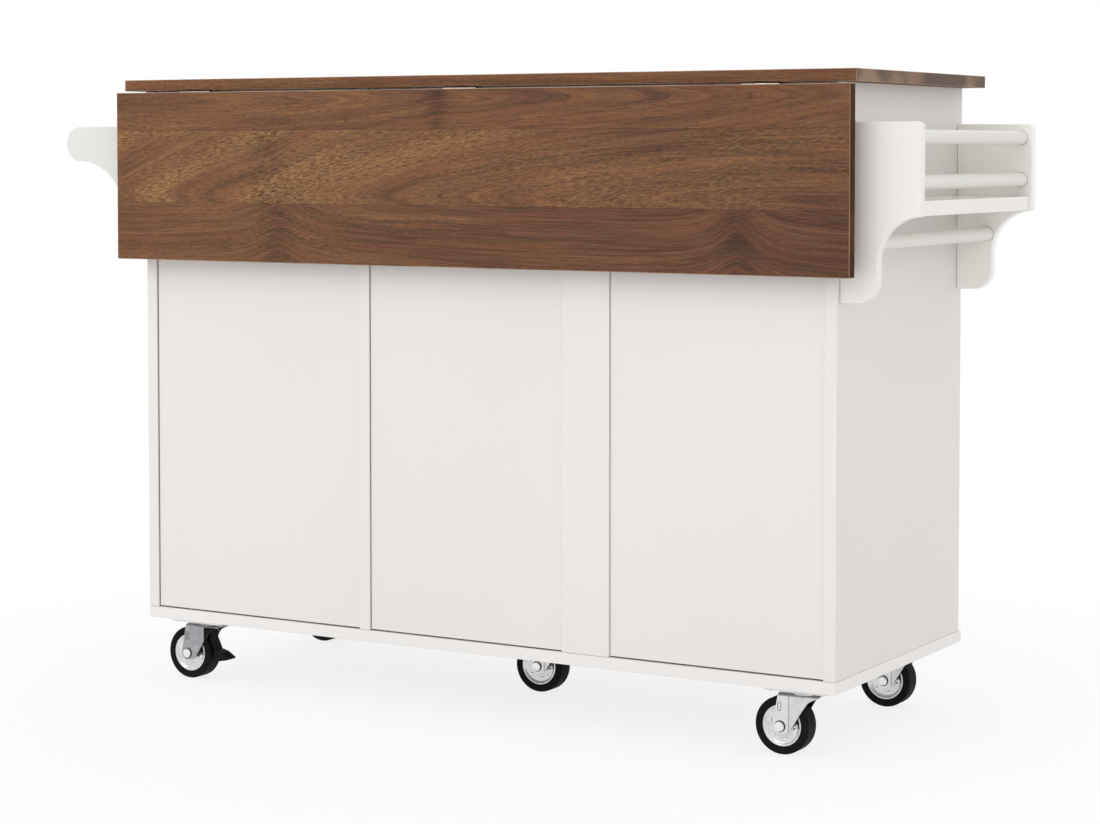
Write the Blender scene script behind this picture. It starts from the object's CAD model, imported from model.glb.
"""Rolling kitchen island with a walnut drop leaf: the finish and fine shape of every piece.

Lengths are in metres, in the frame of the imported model: +Z up, the leaf at +Y, the doors and
drawers at -Y, the spice rack at the -X end and the towel bar at the +X end.
"""

import logging
import math
from collections.abc import Callable, Sequence
from dataclasses import dataclass
from enum import Enum, IntEnum

import bmesh
import bpy
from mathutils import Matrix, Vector


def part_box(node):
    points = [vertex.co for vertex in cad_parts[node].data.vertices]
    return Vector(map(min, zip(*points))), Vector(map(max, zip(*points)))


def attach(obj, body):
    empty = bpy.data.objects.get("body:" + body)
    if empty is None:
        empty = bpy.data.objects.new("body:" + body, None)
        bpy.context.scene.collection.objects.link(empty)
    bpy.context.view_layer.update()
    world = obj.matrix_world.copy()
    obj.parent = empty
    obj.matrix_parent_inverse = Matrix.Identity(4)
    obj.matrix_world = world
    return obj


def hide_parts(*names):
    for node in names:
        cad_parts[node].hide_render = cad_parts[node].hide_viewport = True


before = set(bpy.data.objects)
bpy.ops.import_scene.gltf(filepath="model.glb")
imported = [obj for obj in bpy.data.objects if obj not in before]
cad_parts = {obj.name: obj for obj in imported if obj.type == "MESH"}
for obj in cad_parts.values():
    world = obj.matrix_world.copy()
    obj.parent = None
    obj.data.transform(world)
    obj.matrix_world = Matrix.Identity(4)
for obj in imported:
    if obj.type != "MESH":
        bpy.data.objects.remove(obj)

log = logging.getLogger("kitchen_island")

MM = 0.001
EDGE_ANGLE = 32  # an edge that turns by more degrees than this is rounded
FLAT_ANGLE = 0.6  # faces that turn by fewer degrees than this are one face
SAME_PLACE = 0.01 * MM  # points nearer than this are the same
Outline = Sequence[tuple[float, float]]
Colour = tuple[float, float, float, float]


class Axis(Enum):
    """Direction of the shared frame, by its place in a vector."""

    X = 0
    Y = 1
    Z = 2


class Slot(Enum):
    """Material slot of the record that a new piece belongs to."""

    WHITE = "white_board"
    WALNUT = "walnut"
    STEEL = "steel"
    RIM = "wheel_rim"
    TYRE = "tyre"
    PEDAL = "pedal"
    PLY = "drawer_ply"


class ForkFinish(IntEnum):
    """Finish of each part of a caster's fork, by its place among the fork's materials."""

    ZINC = 0
    INSIDE = 1
    BRIGHT = 2
    CREASE = 3
    FLANGE = 4
    GUARD = 5


def tint(red: int, green: int, blue: int) -> Colour:
    """Turns a colour from 0 to 255, as a screen shows it, into the shader's linear one.

    Args:
        red: Share of red.
        green: Share of green.
        blue: Share of blue.

    Returns:
        Linear red, green, blue and an alpha of 1.
    """
    shares = [value / 255 for value in (red, green, blue)]
    linear = [s / 12.92 if s <= 0.04045 else ((s + 0.055) / 1.055) ** 2.4 for s in shares]
    return (linear[0], linear[1], linear[2], 1.0)


class Graph:
    """Node tree of one material, with short calls for the nodes that the finishes use."""

    def __init__(self, name: str) -> None:
        """Starts an empty tree round a Principled shader.

        Args:
            name: Name of the material.
        """
        self.material = bpy.data.materials.new(name)
        self.material.use_nodes = True
        self.tree = self.material.node_tree
        self.shader = self.tree.nodes["Principled BSDF"]
        self.place = self.node("ShaderNodeTexCoord").outputs["Object"]

    def node(self, kind: str, **settings: object) -> bpy.types.Node:
        """Adds a node.

        Args:
            kind: Name of the node type.
            settings: Properties to set on it.

        Returns:
            The new node.
        """
        made = self.tree.nodes.new(kind)
        for key, value in settings.items():
            setattr(made, key, value)
        return made

    def feed(self, socket: bpy.types.NodeSocket, value: object) -> None:
        """Links a socket to another, or sets its own value.

        Args:
            socket: Input to fill.
            value: Output socket, number, vector or colour.
        """
        if isinstance(value, bpy.types.NodeSocket):
            self.tree.links.new(value, socket)
        else:
            socket.default_value = value

    def math(self, operation: str, first: object, second: object = 0.0,
             third: object = 0.0) -> bpy.types.NodeSocket:
        """Adds a Math node.

        Args:
            operation: Name of the operation.
            first: First value or socket.
            second: Second value or socket.
            third: Third value or socket.

        Returns:
            The result's socket.
        """
        made = self.node("ShaderNodeMath", operation=operation)
        for socket, value in zip(made.inputs, (first, second, third)):
            self.feed(socket, value)
        return made.outputs[0]

    def times(self, first: object, second: object) -> bpy.types.NodeSocket:
        """Returns the product of two values or sockets."""
        return self.math("MULTIPLY", first, second)

    def sway(self, noise: object, strength: float, base: object) -> bpy.types.NodeSocket:
        """Returns a value moved by a noise, up where the noise is above 0.5 and down below it."""
        return self.math("MULTIPLY_ADD", self.math("SUBTRACT", noise, 0.5), strength, base)

    def split(self, vector: object) -> list[bpy.types.NodeSocket]:
        """Returns the X, Y and Z sockets of a vector."""
        made = self.node("ShaderNodeSeparateXYZ")
        self.feed(made.inputs[0], vector)
        return list(made.outputs)

    def join(self, *parts: object) -> bpy.types.NodeSocket:
        """Returns the vector made of three values or sockets."""
        made = self.node("ShaderNodeCombineXYZ")
        for socket, value in zip(made.inputs, parts):
            self.feed(socket, value)
        return made.outputs[0]

    def stretch(self, *repeats: float) -> bpy.types.NodeSocket:
        """Scales the object's own place.

        Args:
            repeats: Repeats in a metre along X, Y and Z, or one number for all three.

        Returns:
            The scaled vector's socket.
        """
        made = self.node("ShaderNodeVectorMath", operation="MULTIPLY")
        self.feed(made.inputs[0], self.place)
        made.inputs[1].default_value = repeats if len(repeats) == 3 else repeats * 3
        return made.outputs[0]

    def noise(self, place: object, detail: float = 2.0,
              roughness: float = 0.5) -> bpy.types.NodeSocket:
        """Adds a noise of scale 1 at a scaled place.

        Args:
            place: Scaled vector.
            detail: Number of finer layers.
            roughness: Weight of the finer layers.

        Returns:
            The noise's socket, about 0.5 on average.
        """
        made = self.node("ShaderNodeTexNoise")
        self.feed(made.inputs["Vector"], place)
        made.inputs["Scale"].default_value = 1.0
        made.inputs["Detail"].default_value = detail
        made.inputs["Roughness"].default_value = roughness
        return made.outputs["Fac"]

    def ramp(self, value: object, stops: Sequence[tuple[float, Colour]]) -> bpy.types.NodeSocket:
        """Adds a colour ramp.

        Args:
            value: Socket from 0 to 1.
            stops: Places from 0 to 1 with their colours.

        Returns:
            The colour's socket.
        """
        made = self.node("ShaderNodeValToRGB")
        self.feed(made.inputs[0], value)
        elements = made.color_ramp.elements
        while len(elements) < len(stops):
            elements.new(0.5)
        for element, (place, colour) in zip(elements, stops):
            element.position = place
            element.color = colour
        return made.outputs[0]

    def spread(self, value: object, low: float, high: float, to_low: float = 0.0,
               to_high: float = 1.0) -> bpy.types.NodeSocket:
        """Maps a range onto another and keeps to it.

        Args:
            value: Socket to map.
            low: Value that becomes to_low.
            high: Value that becomes to_high.
            to_low: Result at low.
            to_high: Result at high.

        Returns:
            The mapped value's socket.
        """
        made = self.node("ShaderNodeMapRange")
        for socket, given in zip(made.inputs, (value, low, high, to_low, to_high)):
            self.feed(socket, given)
        return made.outputs[0]

    def mix(self, share: object, first: object, second: object,
            way: str = "MIX") -> bpy.types.NodeSocket:
        """Mixes two colours.

        Args:
            share: Share of the second colour.
            first: Colour or socket.
            second: Colour or socket.
            way: Name of the blend.

        Returns:
            The mixed colour's socket.
        """
        made = self.node("ShaderNodeMix", data_type="RGBA", blend_type=way)
        self.feed(made.inputs["Factor"], share)
        self.feed(made.inputs[6], first)
        self.feed(made.inputs[7], second)
        return made.outputs[2]

    def bump(self, height: object, depth: float) -> None:
        """Gives the shader a relief.

        Args:
            height: Socket from 0 to 1.
            depth: Depth of the relief in metres.
        """
        made = self.node("ShaderNodeBump")
        made.inputs["Strength"].default_value = 1.0
        made.inputs["Distance"].default_value = depth
        self.feed(made.inputs["Height"], height)
        self.feed(self.shader.inputs["Normal"], made.outputs[0])

    def surface(self, colour: object, roughness: object, metal: float = 0.0,
                **extra: float) -> bpy.types.Material:
        """Fills the shader in and returns the material.

        Args:
            colour: Colour or socket.
            roughness: Number or socket.
            metal: Share of metal.
            extra: Other inputs, with their spaces written as underscores.

        Returns:
            The finished material.
        """
        self.feed(self.shader.inputs["Base Color"], colour)
        self.feed(self.shader.inputs["Roughness"], roughness)
        self.shader.inputs["Metallic"].default_value = metal
        for key, value in extra.items():
            self.shader.inputs[key.replace("_", " ")].default_value = value
        return self.material


class Finish:
    """Finish of a surface, made into a material once and then shared."""

    made: dict[object, bpy.types.Material] = {}

    def material(self) -> bpy.types.Material:
        """Returns the material of this finish, and builds it the first time."""
        if self not in Finish.made:
            Finish.made[self] = self.build()
        return Finish.made[self]

    def build(self) -> bpy.types.Material:
        """Builds the material. Each finish has its own."""
        raise NotImplementedError


@dataclass(frozen=True)
class Plank:
    """One strip of the veneer, cut from a trunk whose growth rings are nested cones."""

    edge: float  # where the strip ends, across the grain
    heart: float  # where the trunk's heart lies, across the grain
    cut: float  # how far the cut passes from the heart
    taper: float  # slope of the cones, above 0 where their tips point along the grain
    turn: float  # how much the slope grows in a metre along the grain
    tone: float
    gold: float = 0.3  # strength of its golden ripples
    drift: float = 0.0  # how much lighter it grows in a metre along the grain


@dataclass(frozen=True)
class Knot:
    """Place where the grain of one strip arches up."""

    along: float
    low: float
    high: float
    rise: float
    width: float


@dataclass(frozen=True)
class Grain:
    """Sockets that tell where a point of the veneer lies."""

    along: object  # place along the grain
    across: object  # place across the grain
    ring: object  # distance from the heart of its strip
    tone: object  # tone of its strip


@dataclass(frozen=True)
class Walnut(Finish):
    """Walnut veneer laid in strips along X, with its figure cut from tapered growth rings."""

    name: str
    across: Axis
    depth: Axis
    planks: tuple[Plank, ...]
    knots: tuple[Knot, ...] = ()

    def by_plank(self, graph: Graph, across: object, field: str) -> object:
        """Gives each strip its own value.

        Args:
            graph: Graph to build in.
            across: Socket of the place across the grain.
            field: Name of the strips' field that holds the value.

        Returns:
            The value's socket.
        """
        values = [getattr(plank, field) for plank in self.planks]
        total: object = values[0]
        for plank, before, after in zip(self.planks, values, values[1:]):
            passed = graph.math("GREATER_THAN", across, plank.edge)
            total = graph.math("MULTIPLY_ADD", passed, after - before, total)
        return total

    def arches(self, graph: Graph, along: object, across: object) -> tuple[object, object]:
        """Lifts the grain at each knot.

        Args:
            graph: Graph to build in.
            along: Socket of the place along the grain.
            across: Socket of the place across the grain.

        Returns:
            Sockets of the lift in metres and of the share of dark wood round the knots.
        """
        lift: object = 0.0
        shade: object = 0.0
        for knot in self.knots:
            away = graph.math("DIVIDE", graph.math("SUBTRACT", along, knot.along), knot.width)
            bell = graph.math("DIVIDE", 1.0, graph.math("MULTIPLY_ADD", away, away, 1.0))
            inside = graph.times(graph.math("GREATER_THAN", across, knot.low),
                                 graph.math("LESS_THAN", across, knot.high))
            held = graph.times(bell, inside)
            lift = graph.math("MULTIPLY_ADD", held, knot.rise, lift)
            shade = graph.math("ADD", shade, graph.math("POWER", held, 3.0))
        return lift, shade

    def rings(self, graph: Graph, along: object, across: object, depth: object,
              lift: object) -> object:
        """Works out the distance from the heart of the strip, bent as real wood is.

        Args:
            graph: Graph to build in.
            along: Socket of the place along the grain.
            across: Socket of the place across the grain.
            depth: Socket of the place through the board.
            lift: Socket of the knots' lift.

        Returns:
            Socket of the distance in metres.
        """
        hearts, cuts, tapers, turns, tones = (
            self.by_plank(graph, across, field)
            for field in ("heart", "cut", "taper", "turn", "tone")
        )
        rise = graph.math("SUBTRACT", graph.math("SUBTRACT", across, hearts), lift)
        squares = graph.math("MULTIPLY_ADD", rise, rise, graph.times(cuts, cuts))
        slope = graph.math("MULTIPLY_ADD", along, turns, tapers)
        reach = graph.math("MULTIPLY_ADD", along, slope, graph.math("SQRT", squares))
        reach = graph.math("MULTIPLY_ADD", depth, 0.6, reach)
        layer = graph.times(tones, 9.0)
        slow = graph.noise(graph.join(graph.times(along, 2.6), graph.times(across, 9.0), layer))
        quick = graph.noise(graph.join(graph.times(along, 16.0), graph.times(across, 70.0), layer),
                            1.0)
        return graph.sway(quick, 0.004, graph.sway(slow, 0.024, reach))

    def streaks(self, graph: Graph, grain: Grain, shade: object) -> bpy.types.NodeSocket:
        """Colours the veneer with broad and fine streaks along the rings, and with threads.

        Args:
            graph: Graph to build in.
            grain: Where the point lies.
            shade: Socket of the share of dark wood round the knots.

        Returns:
            The colour's socket.
        """
        along, ring, tone = grain.along, grain.ring, grain.tone
        broad = graph.noise(graph.join(graph.times(ring, 60.0), graph.times(along, 2.0), tone),
                            5.0, 0.66)
        fine = graph.noise(graph.join(graph.times(ring, 330.0), graph.times(along, 5.0), tone),
                           3.0, 0.75)
        threads = graph.noise(graph.join(graph.times(along, 11.0),
                                         graph.times(grain.across, 640.0), tone), 1.0)
        figure = graph.sway(broad, 0.55, tone)
        figure = graph.sway(fine, 0.85, figure)
        figure = graph.sway(threads, 0.14, figure)
        drifts = self.by_plank(graph, grain.across, "drift")
        figure = graph.math("MULTIPLY_ADD", along, drifts, figure)
        figure = graph.math("MULTIPLY_ADD", shade, -0.17, figure)
        wood = graph.ramp(figure, (
            (0.2, tint(74, 50, 38)), (0.36, tint(97, 66, 48)), (0.5, tint(121, 82, 58)),
            (0.62, tint(134, 92, 62)), (0.8, tint(162, 115, 73)),
        ))
        blush = graph.noise(graph.join(graph.times(along, 5.0), graph.times(ring, 70.0),
                                       graph.math("ADD", tone, 3.0)), 2.0)
        return graph.mix(graph.spread(blush, 0.5, 0.66, 0.0, 0.34), wood, tint(138, 82, 56))

    def ripples(self, graph: Graph, grain: Grain) -> bpy.types.NodeSocket:
        """Works out where golden ripples cross the grain.

        Args:
            graph: Graph to build in.
            grain: Where the point lies.

        Returns:
            Socket of their share of the colour.
        """
        along, across = grain.along, grain.across
        patches = graph.noise(graph.join(graph.times(along, 3.2), graph.times(grain.ring, 22.0),
                                         grain.tone), 1.0)
        slope = self.by_plank(graph, across, "taper")
        bend = graph.times(graph.math("MULTIPLY_ADD", along, slope, across), 560.0)
        ripple = graph.noise(graph.join(graph.times(along, 85.0), bend, 0.0), 2.0, 0.75)
        strength = graph.times(self.by_plank(graph, across, "gold"),
                               graph.spread(along, -0.35, 0.3, 0.4, 1.0))
        share = graph.times(graph.spread(patches, 0.28, 0.6), graph.spread(ripple, 0.43, 0.6))
        return graph.times(share, strength)

    def build(self) -> bpy.types.Material:
        """Builds the veneer: streaks, fibres, golden ripples, pores and the strips' seams."""
        graph = Graph(self.name)
        places = graph.split(graph.place)
        along, across, depth = places[0], places[self.across.value], places[self.depth.value]
        lift, shade = self.arches(graph, along, across)
        ring = self.rings(graph, along, across, depth, lift)
        grain = Grain(along, across, ring, self.by_plank(graph, across, "tone"))
        wood = self.streaks(graph, grain, shade)
        fibre = graph.noise(graph.stretch(22.0, 1100.0, 1100.0), 2.0, 0.7)
        wood = graph.mix(graph.spread(fibre, 0.3, 0.72, 0.0, 0.6), wood,
                         graph.mix(1.0, wood, tint(196, 176, 164), "MULTIPLY"))
        wood = graph.mix(self.ripples(graph, grain), wood, tint(194, 147, 90))
        bent = graph.math("MULTIPLY_ADD", ring, 600.0, graph.times(across, 1100.0))
        pores = graph.noise(graph.join(graph.times(along, 110.0), bent, 0.5), 1.0)
        pitted = graph.spread(pores, 0.56, 0.7)
        wood = graph.mix(graph.times(pitted, 0.5), wood, tint(66, 45, 35))
        for plank in self.planks[:-1]:
            off = graph.math("ABSOLUTE", graph.math("SUBTRACT", across, plank.edge))
            wood = graph.mix(graph.spread(off, 0.0002, 0.0007, 0.4, 0.0), wood, tint(58, 42, 36))
        graph.bump(graph.math("MULTIPLY_ADD", pitted, -0.6, fibre), 0.00005)
        return graph.surface(wood, graph.spread(fibre, 0.3, 0.7, 0.46, 0.6),
                             Specular_IOR_Level=0.22)


@dataclass(frozen=True)
class EdgeBand(Finish):
    """Thin walnut band on the ends of the boards, with soft cross-cut patches."""

    name: str
    light: Colour
    dark: Colour
    gloss: float = 0.25

    def build(self) -> bpy.types.Material:
        """Builds the band: wide soft patches under fine lines."""
        graph = Graph(self.name)
        patches = graph.noise(graph.stretch(14.0, 14.0, 9.0), 1.0, 0.4)
        lines = graph.noise(graph.stretch(60.0, 60.0, 900.0), 2.0, 0.6)
        wood = graph.mix(graph.spread(patches, 0.42, 0.58), self.dark, self.light)
        wood = graph.mix(graph.spread(lines, 0.4, 0.75, 0.0, 0.3), wood, self.dark)
        graph.bump(lines, 0.00003)
        return graph.surface(wood, graph.spread(lines, 0.3, 0.7, 0.44, 0.56),
                             Specular_IOR_Level=self.gloss)


@dataclass(frozen=True)
class Lacquer(Finish):
    """Satin white lacquer on board, with a faint rolled relief."""

    name: str
    colour: Colour
    shade: Colour
    roughness: float = 0.42
    relief: float = 0.000015

    def build(self) -> bpy.types.Material:
        """Builds the lacquer: slow drift of tone, a rolled relief and specks of dust."""
        graph = Graph(self.name)
        drift = graph.noise(graph.stretch(1.6))
        peel = graph.noise(graph.stretch(420.0))
        specks = graph.noise(graph.stretch(150.0), 3.0, 0.7)
        paint = graph.mix(graph.spread(drift, 0.35, 0.68), self.colour, self.shade)
        paint = graph.mix(graph.spread(specks, 0.66, 0.8, 0.0, 0.25), paint, self.shade)
        graph.bump(peel, self.relief)
        rough = graph.spread(specks, 0.3, 0.7, self.roughness - 0.05, self.roughness + 0.06)
        return graph.surface(paint, rough, Specular_IOR_Level=0.45)


@dataclass(frozen=True)
class Metal(Finish):
    """Metal with cloudy plating and fine scratches along one axis."""

    name: str
    light: Colour
    dark: Colour
    roughness: float
    brushed: Axis
    shade_above: float | None = None  # height above which it lies in the dark of a pocket

    def build(self) -> bpy.types.Material:
        """Builds the metal: clouds in its tone, and brushing in its gloss and relief."""
        graph = Graph(self.name)
        clouds = graph.noise(graph.stretch(90.0), 3.0, 0.6)
        repeats = [2600.0, 2600.0, 2600.0]
        repeats[self.brushed.value] = 60.0
        lines = graph.noise(graph.stretch(*repeats), 2.0, 0.6)
        plated = graph.mix(graph.spread(clouds, 0.35, 0.66), self.light, self.dark)
        if self.shade_above is not None:
            height = graph.split(graph.place)[2]
            dim = graph.spread(height, self.shade_above - 0.4 * MM, self.shade_above + 0.4 * MM)
            plated = graph.mix(dim, plated, tint(84, 64, 54))
        rough = graph.spread(lines, 0.3, 0.7, self.roughness - 0.05, self.roughness + 0.09)
        graph.bump(lines, 0.000004)
        return graph.surface(plated, rough, 1.0)


@dataclass(frozen=True)
class Moulded(Finish):
    """Moulded rubber or plastic, with a fine grain and a little dust."""

    name: str
    colour: Colour
    dusty: Colour
    roughness: float
    grain: float

    def build(self) -> bpy.types.Material:
        """Builds the material: dust in patches over a grained skin."""
        graph = Graph(self.name)
        dust = graph.noise(graph.stretch(45.0), 4.0, 0.65)
        skin = graph.noise(graph.stretch(self.grain), 2.0, 0.6)
        tone = graph.mix(graph.spread(dust, 0.45, 0.8, 0.0, 0.8), self.colour, self.dusty)
        graph.bump(skin, 0.00004)
        rough = graph.spread(dust, 0.3, 0.75, self.roughness - 0.06, self.roughness + 0.1)
        return graph.surface(tone, rough, Specular_IOR_Level=0.12)


@dataclass(frozen=True)
class Plywood(Finish):
    """Birch plywood: a pale veneer, or the layers that show on an edge."""

    name: str
    layers: Axis | None = None
    layer_t: float = 2.4 * MM

    def build(self) -> bpy.types.Material:
        """Builds the veneer's grain, or bands across the given axis."""
        graph = Graph(self.name)
        grain = graph.noise(graph.stretch(30.0, 8.0, 420.0), 3.0, 0.6)
        wood = graph.ramp(grain, (
            (0.3, tint(196, 166, 124)), (0.5, tint(219, 194, 155)), (0.7, tint(229, 208, 173)),
        ))
        if self.layers is not None:
            place = graph.split(graph.place)[self.layers.value]
            band = graph.math("FRACT", graph.math("DIVIDE", place, self.layer_t))
            dark = graph.spread(graph.math("ABSOLUTE", graph.math("SUBTRACT", band, 0.5)), 0.2, 0.3)
            wood = graph.mix(graph.times(dark, 0.6), wood, tint(150, 112, 74))
        graph.bump(grain, 0.00004)
        return graph.surface(wood, graph.spread(grain, 0.3, 0.7, 0.5, 0.64))


@dataclass(frozen=True)
class Palette:
    """Every finish of the island."""

    board: Lacquer = Lacquer("white_boards", tint(239, 236, 232), tint(236, 232, 228))
    base: Lacquer = Lacquer("white_base_board", tint(243, 240, 238), tint(240, 237, 234))
    panel: Lacquer = Lacquer("white_back_panels", tint(238, 234, 231), tint(235, 231, 227), 0.46)
    joinery: Lacquer = Lacquer("white_brackets", tint(246, 243, 238), tint(242, 239, 234), 0.38)
    far_joinery: Lacquer = Lacquer("white_front_brackets", tint(253, 251, 247),
                                   tint(250, 248, 243), 0.38)
    bar_joinery: Lacquer = Lacquer("white_bar_brackets", tint(233, 232, 229),
                                   tint(229, 228, 225), 0.38)
    side: Lacquer = Lacquer("white_sides", tint(233, 229, 226), tint(230, 226, 222))
    inside: Lacquer = Lacquer("white_inside", tint(231, 229, 226), tint(225, 222, 218), 0.5)
    rod: Lacquer = Lacquer("white_rods", tint(231, 228, 223), tint(226, 223, 217), 0.36, 0.000004)
    leaf: Walnut = Walnut(
        "walnut_leaf", Axis.Z, Axis.Y,
        (
            Plank(0.744, 0.5, 0.01, -0.02, 0.03, 0.43, 0.2, 0.14),
            Plank(0.853, 0.757, 0.009, 0.2, 0.16, 0.475, 0.62, 0.11),
            Plank(0.911, 0.896, 0.007, -0.08, 0.05, 0.52, 0.1, 0.02),
        ),
        (
            Knot(0.281, 0.6, 0.744, 0.036, 0.045),
            Knot(-0.478, 0.6, 0.744, 0.042, 0.036),
            Knot(0.3, 0.744, 0.853, -0.01, 0.05),
            Knot(0.0, 0.853, 0.95, 0.008, 0.03),
        ),
    )
    top: Walnut = Walnut(
        "walnut_worktop", Axis.Y, Axis.Z,
        (
            Plank(-0.147, -0.34, 0.01, 0.03, 0.03, 0.48, 0.2),
            Plank(-0.052, -0.1, 0.009, 0.14, 0.08, 0.53, 0.55),
            Plank(0.036, 0.2, 0.01, -0.04, -0.03, 0.46, 0.2),
            Plank(0.139, 0.09, 0.008, -0.16, 0.1, 0.51, 0.45),
            Plank(0.25, 0.4, 0.01, 0.02, -0.02, 0.49, 0.25),
        ),
        (
            Knot(0.33, -0.3, -0.147, 0.05, 0.04),
            Knot(-0.3, 0.036, 0.139, -0.045, 0.04),
        ),
    )
    end: EdgeBand = EdgeBand("walnut_end_band", tint(150, 118, 92), tint(92, 70, 57))
    leaf_end: EdgeBand = EdgeBand("walnut_leaf_band", tint(96, 61, 38), tint(70, 42, 28), 0.04)
    long_edge: Walnut = Walnut(
        "walnut_long_edge", Axis.Z, Axis.Y,
        (
            Plank(0.95, 0.88, 0.01, 0.012, 0.01, 0.57, 0.3),
            Plank(1.0, 0.96, 0.01, 0.012, 0.01, 0.57, 0.3),
        ),
    )
    corner: EdgeBand = EdgeBand("walnut_corner", tint(182, 154, 130), tint(150, 120, 96))
    zinc: Metal = Metal("zinc_plate", tint(231, 230, 229), tint(222, 221, 221), 0.34, Axis.Z)
    dull_zinc: Metal = Metal("dull_zinc_plate", tint(176, 176, 176), tint(158, 158, 158), 0.38,
                             Axis.Z)
    flange: Metal = Metal("zinc_flange", tint(224, 223, 222), tint(208, 207, 206), 0.3, Axis.Z)
    crease: Metal = Metal("zinc_in_the_crease", tint(176, 177, 180), tint(160, 161, 165), 0.4,
                          Axis.Z)
    hinge: Metal = Metal("hinge_steel", tint(222, 222, 222), tint(190, 190, 192), 0.24, Axis.X)
    leaf_hinge: Metal = Metal("leaf_hinge_steel", tint(238, 226, 218), tint(214, 200, 192), 0.26,
                              Axis.X, shade_above=0.9122)
    pull: Metal = Metal("brushed_nickel", tint(202, 200, 196), tint(192, 189, 185), 0.27, Axis.X)
    rim: Metal = Metal("rim_steel", tint(226, 226, 227), tint(206, 207, 209), 0.22, Axis.X)
    bright: Metal = Metal("bright_steel", tint(240, 240, 241), tint(228, 229, 231), 0.16, Axis.Z)
    inner_steel: Metal = Metal("fork_inside", tint(70, 69, 70), tint(48, 47, 48), 0.45, Axis.Z)
    rubber: Moulded = Moulded("black_rubber", tint(17, 16, 17), tint(25, 24, 24), 0.66, 900.0)
    pedal: Moulded = Moulded("black_pedal", tint(20, 19, 20), tint(32, 31, 32), 0.5, 1400.0)
    ply: Plywood = Plywood("birch_ply")
    ply_edge_x: Plywood = Plywood("birch_edge_across_x", Axis.X)
    ply_edge_y: Plywood = Plywood("birch_edge_across_y", Axis.Y)


def in_mm(outline: Outline) -> list[tuple[float, float]]:
    """Returns, in metres, an outline that is written in millimetres."""
    return [(a * MM, b * MM) for a, b in outline]


def arc(centre: tuple[float, float], radius: float, start: float, end: float,
        steps: int = 10) -> list[tuple[float, float]]:
    """Points of an arc.

    Args:
        centre: Middle of the circle.
        radius: Its radius.
        start: First angle in degrees.
        end: Last angle in degrees.
        steps: Number of straight steps.

    Returns:
        The arc's points, both ends included.
    """
    angles = [math.radians(start + (end - start) * k / steps) for k in range(steps + 1)]
    return [(centre[0] + radius * math.cos(a), centre[1] + radius * math.sin(a)) for a in angles]


def slot_outline(centre: tuple[float, float], length: float,
                 radius: float) -> list[tuple[float, float]]:
    """Outline of an upright oblong with round ends.

    Args:
        centre: Its middle.
        length: Its full length.
        radius: Half its width.

    Returns:
        The outline's points.
    """
    half = length / 2 - radius
    top = arc((centre[0], centre[1] + half), radius, 0, 180)
    return top + arc((centre[0], centre[1] - half), radius, 180, 360)


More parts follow.
